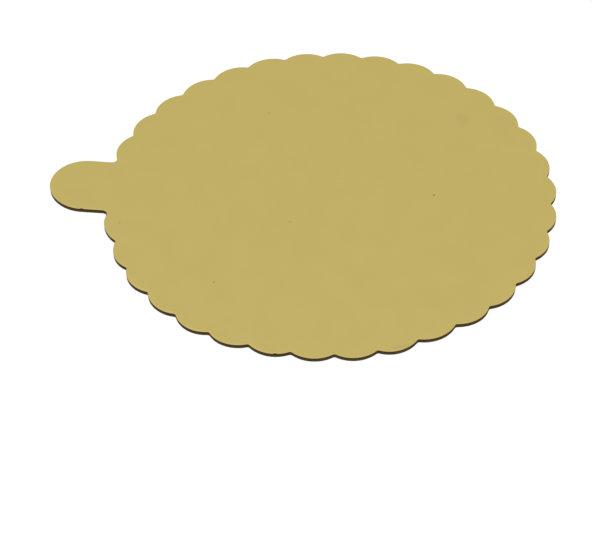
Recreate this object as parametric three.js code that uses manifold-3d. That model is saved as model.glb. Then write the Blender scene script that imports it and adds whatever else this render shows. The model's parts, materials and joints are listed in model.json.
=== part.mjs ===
// A single-portion cake board: a round, scalloped card with a pull tab, die-cut in one piece.
// Millimetres, +Z up. The origin is the centre of the scalloped round, on the underside.
// The tab points along -X, and the board is the same on both sides of the XZ plane.
import * as THREE from 'three';
import { mergeVertices } from 'three/addons/utils/BufferGeometryUtils.js';
import Module from 'manifold-3d';

// The card
const boardDiameter = 100; // over the crests of the scallops
const boardThickness = 1;
const rimRound = 0.2; // the film rolls over the top edge, where the cutting rule enters

// The scallops, and how many of them the tab takes the place of
const scallopPitches = 34;
const tabPitches = 2;
const scallopDepth = 1.45; // from the crests in to where two neighbouring arcs would meet
const notchFillet = 0.6;

// The pull tab
const tabWidth = 16;
const tabReach = 11.7; // from the circle of the crests to the tip
const neckFillet = 1.1;

// Straight steps on each kind of arc, and up the rounded rim
const scallopSteps = 10;
const notchSteps = 3;
const neckSteps = 4;
const tabEndSteps = 20;
const rimSteps = 3;

// Each scallop is an arc on the chord between two notches, with its crest on the crest circle
const crestRadius = boardDiameter / 2;
const notchRadius = crestRadius - scallopDepth;
const pitchAngle = (2 * Math.PI) / scallopPitches;
const halfChord = notchRadius * Math.sin(pitchAngle / 2);
const rise = crestRadius - notchRadius * Math.cos(pitchAngle / 2);
const scallopRadius = (halfChord ** 2 + rise ** 2) / (2 * rise);
const scallopCount = scallopPitches - tabPitches;

const heading = (from, to) => Math.atan2(to.y - from.y, to.x - from.x);
const polar = (radius, angle) => new THREE.Vector2(radius * Math.cos(angle), radius * Math.sin(angle));

// Scallops are numbered anticlockwise from the tab, which is at half a turn
function scallopCentre(index) {
  const pitchesFromTab = tabPitches / 2 + index + 0.5;
  return polar(crestRadius - scallopRadius, Math.PI + pitchAngle * pitchesFromTab);
}

// Centre of the fillet between two scallops, which touches both from outside the card
function notchCentre(centre, next) {
  const middle = centre.clone().add(next).divideScalar(2);
  const outward = Math.sqrt((scallopRadius + notchFillet) ** 2 - middle.distanceToSquared(centre));
  return middle.setLength(middle.length() + outward);
}

// Centre of the fillet between a scallop and the tab's side next to it, at +Y or -Y
function neckCentre(scallop) {
  const y = Math.sign(scallop.y) * (tabWidth / 2 + neckFillet);
  const outward = Math.sqrt((scallopRadius + neckFillet) ** 2 - (scallop.y - y) ** 2);
  return new THREE.Vector2(scallop.x - outward, y);
}

function arcPoints(centre, radius, start, end, clockwise, steps) {
  return new THREE.ArcCurve(centre.x, centre.y, radius, start, end, clockwise).getPoints(steps);
}

// The die's outline, anticlockwise: a neck, the scallops with a fillet in each notch, a neck, the tab's end.
// An arc that starts on the last point of the one before it leaves that point out.
function boardOutline() {
  const scallops = Array.from({ length: scallopCount }, (_, index) => scallopCentre(index));
  const first = scallops[0];
  const last = scallops[scallopCount - 1];
  const notches = scallops.slice(1).map((next, index) => notchCentre(scallops[index], next));
  const hollows = [neckCentre(first), ...notches, neckCentre(last)];

  const rim = scallops.flatMap((scallop, index) => {
    const before = hollows[index];
    const after = hollows[index + 1];
    const crest = arcPoints(
      scallop, scallopRadius, heading(scallop, before), heading(scallop, after), false, scallopSteps);
    if (scallop === last) return crest.slice(1);
    const next = scallops[index + 1];
    const notch = arcPoints(
      after, notchFillet, heading(after, scallop), heading(after, next), true, notchSteps);
    return [...crest.slice(1), ...notch.slice(1)];
  });
  const neckIn = arcPoints(hollows[0], neckFillet, Math.PI / 2, heading(hollows[0], first), true, neckSteps);
  const neckOut = arcPoints(
    hollows[scallopCount], neckFillet, heading(hollows[scallopCount], last), -Math.PI / 2, true, neckSteps);
  const tabEndCentre = new THREE.Vector2(tabWidth / 2 - tabReach - crestRadius, 0);
  const tabEnd = arcPoints(tabEndCentre, tabWidth / 2, Math.PI / 2, -Math.PI / 2, false, tabEndSteps);

  return new THREE.Shape([...neckIn, ...rim, ...neckOut.slice(1), ...tabEnd]);
}

const wasm = await Module();
wasm.setup();

function toSolid(geometry) {
  geometry.deleteAttribute('normal');
  geometry.deleteAttribute('uv');
  const merged = mergeVertices(geometry);
  const vertProperties = Float32Array.from(merged.attributes.position.array);
  const triVerts = Uint32Array.from(merged.index.array);
  return new wasm.Manifold(new wasm.Mesh({ numProp: 3, vertProperties, triVerts }));
}

function toGeometry(solid) {
  const { vertProperties, triVerts } = solid.getMesh();
  const geometry = new THREE.BufferGeometry();
  geometry.setAttribute('position', new THREE.BufferAttribute(vertProperties, 3));
  geometry.setIndex(new THREE.BufferAttribute(triVerts, 1));
  return geometry;
}

// The card is extruded with both rims rounded and too deep, and the excess is cut off square at the
// underside, because the cutting rule rounds only the edge where it enters
function cakeBoard() {
  const excess = 2 * rimRound;
  const blank = new THREE.ExtrudeGeometry(boardOutline(), {
    depth: boardThickness - rimRound + excess,
    bevelThickness: rimRound,
    bevelSize: rimRound,
    bevelOffset: -rimRound,
    bevelSegments: rimSteps,
  });
  blank.translate(0, 0, -excess);
  const across = 2 * (boardDiameter + tabReach);
  const waste = new THREE.BoxGeometry(across, across, 2 * boardThickness + 4 * excess);
  waste.translate(0, 0, -boardThickness - 2 * excess);
  return toGeometry(toSolid(blank).subtract(toSolid(waste)));
}

const goldFilmedCard = new THREE.MeshStandardMaterial({ color: 0xc1af67, roughness: 0.2, metalness: 1 });
const board = new THREE.Mesh(cakeBoard(), goldFilmedCard);
board.name = 'cake_board';

const model = new THREE.Group();
model.add(board);

export default model;
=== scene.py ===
import json
import math

import bpy
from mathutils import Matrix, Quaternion, Vector

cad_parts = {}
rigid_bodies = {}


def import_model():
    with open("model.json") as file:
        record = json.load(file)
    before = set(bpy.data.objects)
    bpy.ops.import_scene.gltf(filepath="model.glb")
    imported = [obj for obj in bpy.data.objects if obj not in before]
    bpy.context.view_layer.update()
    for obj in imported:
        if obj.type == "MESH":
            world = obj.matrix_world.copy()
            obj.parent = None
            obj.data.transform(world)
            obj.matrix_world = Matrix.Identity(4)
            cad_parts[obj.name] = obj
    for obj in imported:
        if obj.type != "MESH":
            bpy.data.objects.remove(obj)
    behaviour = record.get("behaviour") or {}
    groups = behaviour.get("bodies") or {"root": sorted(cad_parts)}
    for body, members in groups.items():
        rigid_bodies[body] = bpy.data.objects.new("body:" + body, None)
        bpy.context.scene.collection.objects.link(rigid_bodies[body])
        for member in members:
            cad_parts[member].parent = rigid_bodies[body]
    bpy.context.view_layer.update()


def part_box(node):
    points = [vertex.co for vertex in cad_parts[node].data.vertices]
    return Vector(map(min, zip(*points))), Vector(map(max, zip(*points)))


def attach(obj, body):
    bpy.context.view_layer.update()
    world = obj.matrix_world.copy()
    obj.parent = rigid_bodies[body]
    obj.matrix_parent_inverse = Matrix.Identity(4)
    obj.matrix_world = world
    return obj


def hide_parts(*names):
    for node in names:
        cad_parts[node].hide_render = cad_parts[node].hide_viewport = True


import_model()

# The outline of the board
# One scalloped round with a pull tab, cut from the sheet by a single steel rule. It is drawn here as
# the die maker draws it: an arc for a scallop, a small one for a notch, and three for the tab.
MM = 0.001
low, high = (Vector(corner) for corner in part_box("cake_board"))
thickness = high.z - low.z
crest_radius = high.y
tab_tip = -low.x
pitches = 34
tab_pitches = 2
scallop_depth = 1.45 * MM
notch_fillet = 0.6 * MM
tab_width = 16 * MM
neck_fillet = 1.1 * MM
scallop_step = 0.25 * MM
fillet_step = 0.14 * MM
join_distance = 0.01 * MM
cut_tolerance = 0.0001 * MM

pitch = 2 * math.pi / pitches
scallop_count = pitches - tab_pitches
notch_radius = crest_radius - scallop_depth
half_chord = notch_radius * math.sin(pitch / 2)
rise = crest_radius - notch_radius * math.cos(pitch / 2)
scallop_radius = (half_chord ** 2 + rise ** 2) / (2 * rise)


def scallop_centre(index):
    """The centre of a scallop's arc. Scallops are numbered anticlockwise from the tab."""
    angle = math.pi + pitch * (tab_pitches / 2 + index + 0.5)
    return (crest_radius - scallop_radius) * Vector((math.cos(angle), math.sin(angle), 0))


def heading(start, end):
    return math.atan2(end.y - start.y, end.x - start.x)


def add_arc(centre, radius, start, end, step):
    """Adds a circle and cuts it to the arc anticlockwise between two headings, at most half a turn."""
    vertices = math.ceil(2 * math.pi * radius / step)
    bpy.ops.mesh.primitive_circle_add(vertices=vertices, radius=radius, location=centre)
    for angle, side in ((start, 1), (end, -1)):
        inward = side * Vector((-math.sin(angle), math.cos(angle), 0))
        bpy.ops.mesh.bisect(plane_co=centre, plane_no=inward, clear_inner=True, threshold=cut_tolerance)
        bpy.ops.mesh.select_linked()


def repeat_round(copies):
    """Repeats what is selected anticlockwise round the board, one pitch apart."""
    # Spin turns clockwise for a positive angle
    bpy.ops.mesh.spin(
        steps=copies, dupli=True, angle=-copies * pitch, center=(0, 0, 0), axis=(0, 0, 1))


# An empty mesh to draw in
bpy.ops.object.select_all(action="DESELECT")
bpy.ops.mesh.primitive_circle_add(vertices=3, radius=thickness)
board = bpy.context.object
board.name = "gold_cake_board"
board.data.name = "gold_cake_board"
bpy.ops.object.mode_set(mode="EDIT")
bpy.ops.mesh.select_all(action="SELECT")
bpy.ops.mesh.delete(type="VERT")

# The second scallop, and the notch before it, each repeated round to the tab's other side
first = scallop_centre(0)
second = scallop_centre(1)
middle = (first + second) / 2
fillet_offset = math.sqrt((scallop_radius + notch_fillet) ** 2 - (middle - first).length_squared)
notch_centre = middle.normalized() * (middle.length + fillet_offset)
crest_heading = math.atan2(second.y, second.x)
half_sweep = crest_heading - heading(second, notch_centre)
add_arc(second, scallop_radius, crest_heading - half_sweep, crest_heading + half_sweep, scallop_step)
repeat_round(scallop_count - 3)
notch_start = heading(notch_centre, second)
notch_end = heading(notch_centre, first)
add_arc(notch_centre, notch_fillet, notch_start, notch_end, fillet_step)
repeat_round(scallop_count - 2)


def select_where(test):
    """Selects the vertices whose place passes a test, with the edges and faces between them."""
    bpy.ops.mesh.select_mode(type="VERT")
    bpy.ops.mesh.select_all(action="DESELECT")
    bpy.ops.object.mode_set(mode="OBJECT")
    for vertex in board.data.vertices:
        vertex.select = test(vertex.co)
    bpy.ops.object.mode_set(mode="EDIT")


# The tab: a round end, and at each side a straight, a neck and the scallop that the neck runs into.
# Headings are given anticlockwise, so each pair is turned round for one of the two sides.
last = scallop_centre(scallop_count - 1)
half_width = tab_width / 2
tab_end = Vector((half_width - tab_tip, 0, 0))
add_arc(tab_end, half_width, math.pi / 2, 3 * math.pi / 2, scallop_step)
for scallop, side in ((first, -1), (last, 1)):
    neck_y = side * (half_width + neck_fillet)
    neck_x = scallop.x - math.sqrt((scallop_radius + neck_fillet) ** 2 - (scallop.y - neck_y) ** 2)
    neck = Vector((neck_x, neck_y, 0))
    neck_headings = (-side * math.pi / 2, heading(neck, scallop))
    add_arc(neck, neck_fillet, *neck_headings[::side], fillet_step)
    crest_heading = math.atan2(scallop.y, scallop.x)
    scallop_headings = (heading(scallop, neck), crest_heading - side * half_sweep)
    add_arc(scallop, scallop_radius, *scallop_headings[::-side], scallop_step)
    ends = (tab_end + Vector((0, side * half_width, 0)), neck - Vector((0, side * neck_fillet, 0)))
    select_where(lambda place: min((place - end).length for end in ends) < join_distance)
    bpy.ops.mesh.edge_face_add()
    bpy.ops.mesh.subdivide(number_cuts=round((ends[1] - ends[0]).length / scallop_step))

bpy.ops.mesh.select_all(action="SELECT")
bpy.ops.mesh.remove_doubles(threshold=join_distance)
bpy.ops.mesh.edge_face_add()

# The card
# Recycled board with the film bonded to its top. The rule crushes the top corner as it enters, and rolls
# the film over it. Below the film's lip it shears the board and then tears it, so the wall leans in.
rim_round = 0.08 * MM
rim_steps = 6
lip = 0.03 * MM
wall_steps = 9
wall_lean = 0.03 * MM
bottom_round = 0.03 * MM
flat_margin = 0.6 * MM
height_tolerance = 0.02 * lip

lip_height = thickness - rim_round - lip
bpy.ops.transform.translate(value=(0, 0, lip_height))
bpy.ops.mesh.extrude_region_move(TRANSFORM_OT_translate={"value": (0, 0, lip)})


def inset_face(height, upward, inward, onward):
    """Insets the big face at a height, moves it on the way that it faces, and gives its new height."""
    select_where(lambda place: abs(place.z - height) < height_tolerance)
    bpy.ops.mesh.select_mode(type="FACE")
    bpy.ops.mesh.inset(thickness=inward, depth=onward)
    return height + (onward if upward else -onward)


# Up from the lip: the film rolled over the crushed corner, and the edge of the flat face
top_height = lip_height + lip
for step in range(rim_steps):
    start = 0.5 * math.pi * step / rim_steps
    end = 0.5 * math.pi * (step + 1) / rim_steps
    inward = rim_round * (math.cos(start) - math.cos(end))
    onward = rim_round * (math.sin(end) - math.sin(start))
    top_height = inset_face(top_height, True, inward, onward)
inset_face(top_height, True, flat_margin, 0)

# Down from the lip: the sheared and torn wall, and the worn bottom corner
bottom_height = lip_height
wall_step = (lip_height - bottom_round) / wall_steps
for step in range(wall_steps):
    bottom_height = inset_face(bottom_height, False, wall_lean / wall_steps, wall_step)
bottom_height = inset_face(bottom_height, False, bottom_round, bottom_round)
inset_face(bottom_height, False, flat_margin, 0)


def pull_rim(place, shift, reach, grip, lowest=0):
    """Draws the rim within grip of a place by a shift, and the rim round it by less, out to a reach."""
    select_where(lambda point: (point.xy - place).length < grip and point.z >= lowest)
    bpy.ops.transform.translate(
        value=(shift.x, shift.y, 0),
        use_proportional_edit=True,
        proportional_edit_falloff="SMOOTH",
        proportional_size=reach)


# What wear did. The two nicks in the film come first, while the rim is still where the die cut it.
nicks = (Vector((-53.6, -8)) * MM, Vector((-7.55, -49.33)) * MM)
nick_grip = 0.16 * MM
nick_depth = 0.18 * MM
nick_reach = 0.42 * MM
for place in nicks:
    pull_rim(place, Vector((0, nick_depth)), nick_reach, nick_grip, lip_height)

# Soft flats in the rim, each an angle in degrees, a depth and a reach, where a depth below 0 is a swell
flats = (
    (302, 0.45 * MM, 14 * MM),
    (283, -0.22 * MM, 20 * MM),
    (242, -0.33 * MM, 13 * MM),
    (200.5, 0.6 * MM, 9.5 * MM),
    (132, 0.25 * MM, 16 * MM),
)
wide_grip = 1.6 * MM
for angle, depth, reach in flats:
    outward = Vector((math.cos(math.radians(angle)), math.sin(math.radians(angle))))
    pull_rim(outward * crest_radius, -depth * outward, reach, wide_grip)

# The tab is drawn a little to one side
tab_swing = 0.72 * MM
tab_swing_reach = 21 * MM
pull_rim(Vector((-tab_tip, 0)), Vector((0, tab_swing)), tab_swing_reach, wide_grip)

merge_distance = 0.001 * MM
smooth_angle = math.radians(40)
bpy.ops.mesh.select_all(action="SELECT")
bpy.ops.mesh.remove_doubles(threshold=merge_distance)
bpy.ops.mesh.normals_make_consistent(inside=False)
bpy.ops.object.mode_set(mode="OBJECT")
bpy.ops.object.shade_smooth_by_angle(angle=smooth_angle)

# The torn wall is rough with fibre ends, to just short of the lip, and more lie in than stand out
tear_size = 0.3 * MM
tear_depth = 0.045 * MM
tear_top = 0.92 * lip_height
tear_middle = 0.6
torn = board.vertex_groups.new(name="torn wall")
torn.add([v.index for v in board.data.vertices if 0 < v.co.z < tear_top], 1, "REPLACE")
fibres = bpy.data.textures.new("fibre ends", "CLOUDS")
fibres.noise_scale = tear_size
tear = board.modifiers.new("tear", "DISPLACE")
tear.texture = fibres
tear.vertex_group = torn.name
tear.strength = tear_depth
tear.mid_level = tear_middle
bpy.ops.object.modifier_apply(modifier=tear.name)

# The gold film
# Polyester film, vacuum-metallised and tinted gold, laminated to the board. It mirrors its surroundings
# a little blurred, and the board's fibres show through it as a fine orange peel.
peel_size = 0.7 * MM
peel_relief = 0.01 * MM
wave_size = 16 * MM
wave_relief = 0.25 * MM
haze_size = 7 * MM
mark_core = 0.3


def linear(code):
    """The linear colour of an sRGB hex value."""
    channels = (int(code[i:i + 2], 16) / 255 for i in (1, 3, 5))
    return (*(c / 12.92 if c <= 0.04045 else ((c + 0.055) / 1.055) ** 2.4 for c in channels), 1)


def add(tree, kind, settings=(), links=()):
    """Adds a node, sets its properties or sockets by name or number, and links its sockets to others."""
    # A Mix node's sockets go by number: 0 is the factor, 2 and 3 the two numbers, 6 and 7 the two colours
    node = tree.nodes.new(kind)
    for name, value in dict(settings).items():
        if isinstance(name, str) and hasattr(node, name):
            setattr(node, name, value)
        else:
            node.inputs[name].default_value = value
    for name, source in dict(links).items():
        tree.links.new(source, node.inputs[name])
    return node


def new_material(name):
    material = bpy.data.materials.new(name)
    material.use_nodes = True
    material.node_tree.nodes.clear()
    return material, material.node_tree


film, tree = new_material("gold metallised polyester film")
place = add(tree, "ShaderNodeTexCoord").outputs["Object"]
peel = add(tree, "ShaderNodeTexNoise", {"Scale": 1 / peel_size, "Detail": 3}, {"Vector": place})
wave = add(tree, "ShaderNodeTexNoise", {"Scale": 1 / wave_size, "Detail": 1}, {"Vector": place})
haze = add(tree, "ShaderNodeTexNoise", {"Scale": 1 / haze_size, "Detail": 4}, {"Vector": place})


def mark(x, y, length, width, turn=0):
    """The mask of an elliptical mark on the film: middle and half sizes in mm, and a turn in degrees."""
    onto = add(tree, "ShaderNodeMapping",
               {"vector_type": "TEXTURE", "Location": (x * MM, y * MM, thickness),
                "Rotation": (0, 0, math.radians(turn)), "Scale": (length * MM, width * MM, MM)},
               {"Vector": place})
    away = add(tree, "ShaderNodeVectorMath", {"operation": "LENGTH"}, {0: onto.outputs[0]})
    mask = add(tree, "ShaderNodeMapRange",
               {"interpolation_type": "SMOOTHSTEP", "From Min": 1, "From Max": mark_core},
               {"Value": away.outputs["Value"]})
    return mask.outputs["Result"]


# Dust under the film shows as dark specks, each a middle and a radius in mm. A thumb has left a dull
# smudge, and a scuff lies near the rim.
specks = (
    (23.1, 1.3, 0.26),
    (-7.7, -9.2, 0.21),
    (-22.2, -28.9, 0.23),
    (-15.4, 27.2, 0.2),
    (-44.6, -11.7, 0.2),
)
dirt, *others = [mark(x, y, radius, radius) for x, y, radius in specks]
for other in others:
    dirt = add(tree, "ShaderNodeMath", {"operation": "MAXIMUM"}, {0: dirt, 1: other}).outputs[0]
smudge = mark(28.7, 27.4, 2.4, 2.8)
scuff = mark(17.9, -45.7, 3.2, 0.85, 20)
dull = add(tree, "ShaderNodeMath", {"operation": "MAXIMUM"}, {0: smudge, 1: scuff})

tint = add(tree, "ShaderNodeMix", {"data_type": "RGBA", 6: linear("#BFAD65"), 7: linear("#C4B26B")},
           {0: haze.outputs["Fac"]})
dulled = add(tree, "ShaderNodeMix", {"data_type": "RGBA", 7: linear("#BDAB66")},
             {0: dull.outputs[0], 6: tint.outputs[2]})
dusty = add(tree, "ShaderNodeMix", {"data_type": "RGBA", 7: linear("#463800")},
            {0: dirt, 6: dulled.outputs[2]})

# Where the film turns down over the crushed corner it is darkened by its slope: painted shade, a dark
# line along the rim
geometry = add(tree, "ShaderNodeNewGeometry")
facing = add(tree, "ShaderNodeSeparateXYZ", (), {"Vector": geometry.outputs["True Normal"]})
rim_shade_mask = add(tree, "ShaderNodeMapRange", {"From Min": 0.7, "From Max": 0.3},
              {"Value": facing.outputs["Z"]})
shaded_rim = add(tree, "ShaderNodeMix", {"data_type": "RGBA", 7: linear("#5E4E2C")},
           {0: rim_shade_mask.outputs["Result"], 6: dusty.outputs[2]})

clean = add(tree, "ShaderNodeMapRange", {"To Min": 0.14, "To Max": 0.2}, {"Value": haze.outputs["Fac"]})
blur = add(tree, "ShaderNodeMix", {"data_type": "FLOAT", 3: 0.21},
           {0: dull.outputs[0], 2: clean.outputs["Result"]})
soft = add(tree, "ShaderNodeBump", {"Strength": 0.3, "Distance": wave_relief},
           {"Height": wave.outputs["Fac"]})
grain = add(tree, "ShaderNodeBump", {"Strength": 0.12, "Distance": peel_relief},
            {"Height": peel.outputs["Fac"], "Normal": soft.outputs[0]})
# The base colour carries the painted shade along the rim
surface = add(tree, "ShaderNodeBsdfPrincipled", {"Metallic": 1, "Specular Tint": linear("#F3EAC8")},
              {"Base Color": shaded_rim.outputs[2], "Roughness": blur.outputs[0], "Normal": grain.outputs[0]})
add(tree, "ShaderNodeOutputMaterial", (), {"Surface": surface.outputs[0]})

# The cut edge
# Greyboard made of waste paper in plies, sheared by the rule. It is a dull brown-grey, streaked along its
# plies, set darker than the bare underside partly as compressed board and partly as painted shade, and
# darker still where the rule has crushed it under the film.
streak_length = 1.6 * MM
ply_thickness = 0.11 * MM
pulp_size = 0.12 * MM
pulp_relief = 0.04 * MM
crush_start = 0.55 * thickness

cut, tree = new_material("cut greyboard")
place = add(tree, "ShaderNodeTexCoord").outputs["Object"]
along = add(tree, "ShaderNodeMapping",
            {"vector_type": "TEXTURE", "Scale": (streak_length, streak_length, ply_thickness)},
            {"Vector": place})
plies = add(tree, "ShaderNodeTexNoise", {"Scale": 1, "Detail": 5, "Roughness": 0.6},
            {"Vector": along.outputs[0]})
pulp = add(tree, "ShaderNodeTexNoise", {"Scale": 1 / pulp_size, "Detail": 4}, {"Vector": place})
height = add(tree, "ShaderNodeSeparateXYZ", (), {"Vector": place})
crush = add(tree, "ShaderNodeMapRange",
            {"interpolation_type": "SMOOTHSTEP", "From Min": crush_start, "From Max": lip_height},
            {"Value": height.outputs["Z"]})
# The ply colours are dark partly as painted shade on the cut wall, and partly as the board's own darker
# cut
streak_and_shade = add(tree, "ShaderNodeMix", {"data_type": "RGBA", 6: linear("#2A1F0F"), 7: linear("#604D2E")},
             {0: plies.outputs["Fac"]})
crushed = add(tree, "ShaderNodeMix", {"data_type": "RGBA", 7: linear("#1B1408")},
              {0: crush.outputs["Result"], 6: streak_and_shade.outputs[2]})
rough = add(tree, "ShaderNodeBump", {"Strength": 0.6, "Distance": pulp_relief},
            {"Height": pulp.outputs["Fac"]})
surface = add(tree, "ShaderNodeBsdfPrincipled", {"Roughness": 0.9, "Specular IOR Level": 0.25},
              {"Base Color": crushed.outputs[2], "Normal": rough.outputs[0]})
add(tree, "ShaderNodeOutputMaterial", (), {"Surface": surface.outputs[0]})

# The underside
# The same greyboard, left bare as it came from the paper machine. It is matt, with a grain of fibres
# and flecks of darker waste.
fibre_length = 2.4 * MM
fibre_width = 0.35 * MM
fibre_relief = 0.04 * MM
cloud_size = 9 * MM
fleck_spacing = 0.9 * MM

back, tree = new_material("bare greyboard")
place = add(tree, "ShaderNodeTexCoord").outputs["Object"]
grain = add(tree, "ShaderNodeMapping",
            {"vector_type": "TEXTURE", "Scale": (fibre_length, fibre_width, MM)}, {"Vector": place})
fibre = add(tree, "ShaderNodeTexNoise", {"Scale": 1, "Detail": 6, "Roughness": 0.65},
            {"Vector": grain.outputs[0]})
cloud = add(tree, "ShaderNodeTexNoise", {"Scale": 1 / cloud_size, "Detail": 3}, {"Vector": place})
waste = add(tree, "ShaderNodeTexNoise", {"Scale": 1 / fleck_spacing, "Detail": 2}, {"Vector": place})
fleck = add(tree, "ShaderNodeMapRange", {"From Min": 0.66, "From Max": 0.74},
            {"Value": waste.outputs["Fac"]})
pale = add(tree, "ShaderNodeMix", {"data_type": "RGBA", 6: linear("#83725A"), 7: linear("#A39176")},
           {0: fibre.outputs["Fac"]})
clouded = add(tree, "ShaderNodeMix",
              {"data_type": "RGBA", "blend_type": "MULTIPLY", 7: linear("#D8D2C8")},
              {0: cloud.outputs["Fac"], 6: pale.outputs[2]})
flecked = add(tree, "ShaderNodeMix", {"data_type": "RGBA", 7: linear("#4C3F30")},
              {0: fleck.outputs["Result"], 6: clouded.outputs[2]})
rough = add(tree, "ShaderNodeBump", {"Strength": 0.5, "Distance": fibre_relief},
            {"Height": fibre.outputs["Fac"]})
surface = add(tree, "ShaderNodeBsdfPrincipled", {"Roughness": 0.95, "Specular IOR Level": 0.2},
              {"Base Color": flecked.outputs[2], "Normal": rough.outputs[0]})
add(tree, "ShaderNodeOutputMaterial", (), {"Surface": surface.outputs[0]})

# The film is all that lies above the foot of its lip, and the underside is what faces straight down
straight_down = -0.95
for material in (film, cut, back):
    board.data.materials.append(material)
for face in board.data.polygons:
    if face.center.z > lip_height:
        face.material_index = 0
    elif face.normal.z > straight_down:
        face.material_index = 1
    else:
        face.material_index = 2

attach(board, "root")
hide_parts("cake_board")

# The table and the light
# A white sweep under the board, and a soft white studio all round it: bright overhead, less so near the
# horizon, and least behind the camera.
table_size = 6
table_gap = 0.02 * MM
bpy.ops.object.select_all(action="DESELECT")
bpy.ops.mesh.primitive_plane_add(size=table_size, location=(0, 0, -table_gap))
table = bpy.context.object
table.name = "table"
white, tree = new_material("white paper sweep")
ray = add(tree, "ShaderNodeLightPath")
seen = add(tree, "ShaderNodeMath", {"operation": "MAXIMUM"},
           {0: ray.outputs["Is Camera Ray"], 1: ray.outputs["Is Glossy Ray"]})
share = add(tree, "ShaderNodeMath", {"operation": "MULTIPLY", 1: 0.8}, {0: seen.outputs[0]})
paper = add(tree, "ShaderNodeBsdfDiffuse", {"Color": (0.85, 0.85, 0.85, 1)})
glow = add(tree, "ShaderNodeEmission", {"Color": (1, 1, 1, 1), "Strength": 1.12})
blend = add(tree, "ShaderNodeMixShader", (),
            {0: share.outputs[0], 1: paper.outputs[0], 2: glow.outputs[0]})
add(tree, "ShaderNodeOutputMaterial", (), {"Surface": blend.outputs[0]})
table.data.materials.append(white)

world = bpy.data.worlds.new("studio")
world.use_nodes = True
bpy.context.scene.world = world
tree = world.node_tree
tree.nodes.clear()
direction = add(tree, "ShaderNodeTexCoord").outputs["Generated"]
part = add(tree, "ShaderNodeSeparateXYZ", (), {"Vector": direction})
upward = add(tree, "ShaderNodeMapRange",
             {"From Min": 0, "From Max": 1, "To Min": 0.82, "To Max": 1.086},
             {"Value": part.outputs["Z"]})
behind = add(tree, "ShaderNodeMapRange",
             {"interpolation_type": "SMOOTHSTEP",
              "From Min": 0.1, "From Max": -0.9, "To Min": 1, "To Max": 0.9},
             {"Value": part.outputs["Y"]})
level = add(tree, "ShaderNodeMath", {"operation": "MULTIPLY"},
            {0: upward.outputs["Result"], 1: behind.outputs["Result"]})
ray = add(tree, "ShaderNodeLightPath")
strength = add(tree, "ShaderNodeMix", {"data_type": "FLOAT", 3: 1.0},
               {0: ray.outputs["Is Camera Ray"], 2: level.outputs[0]})
sky = add(tree, "ShaderNodeBackground", {"Color": (1, 1, 1, 1)}, {"Strength": strength.outputs[0]})
add(tree, "ShaderNodeOutputWorld", (), {"Surface": sky.outputs[0]})

softbox = bpy.data.lights.new("overhead softbox", "AREA")
softbox.shape = "SQUARE"
softbox.size = 0.9
softbox.energy = 0.5
lamp = bpy.data.objects.new("overhead softbox", softbox)
lamp.location = (-0.15, 0.1, 0.9)
lamp.rotation_euler = (-lamp.location).to_track_quat("-Z", "Y").to_euler()
bpy.context.collection.objects.link(lamp)

# The camera
# A long lens that looks down at the near half of the board, with the tab to the left.
azimuth = math.radians(5.353)
elevation = math.radians(43.525)
roll = math.radians(-1.365)
distance = 0.5059
aim = Vector((-0.00527, -0.02359, thickness))
toward = Vector((
    math.sin(azimuth) * math.cos(elevation),
    -math.cos(azimuth) * math.cos(elevation),
    math.sin(elevation)))
lens = bpy.data.cameras.new("camera")
lens.sensor_width = 36
lens.lens = 144.89
lens.clip_start = 0.01
camera = bpy.data.objects.new("camera", lens)
camera.location = aim + distance * toward
camera.rotation_mode = "QUATERNION"
camera.rotation_quaternion = toward.to_track_quat("Z", "Y") @ Quaternion((0, 0, 1), roll)
bpy.context.collection.objects.link(camera)
bpy.context.scene.camera = camera
bpy.context.scene.view_settings.view_transform = "Standard"
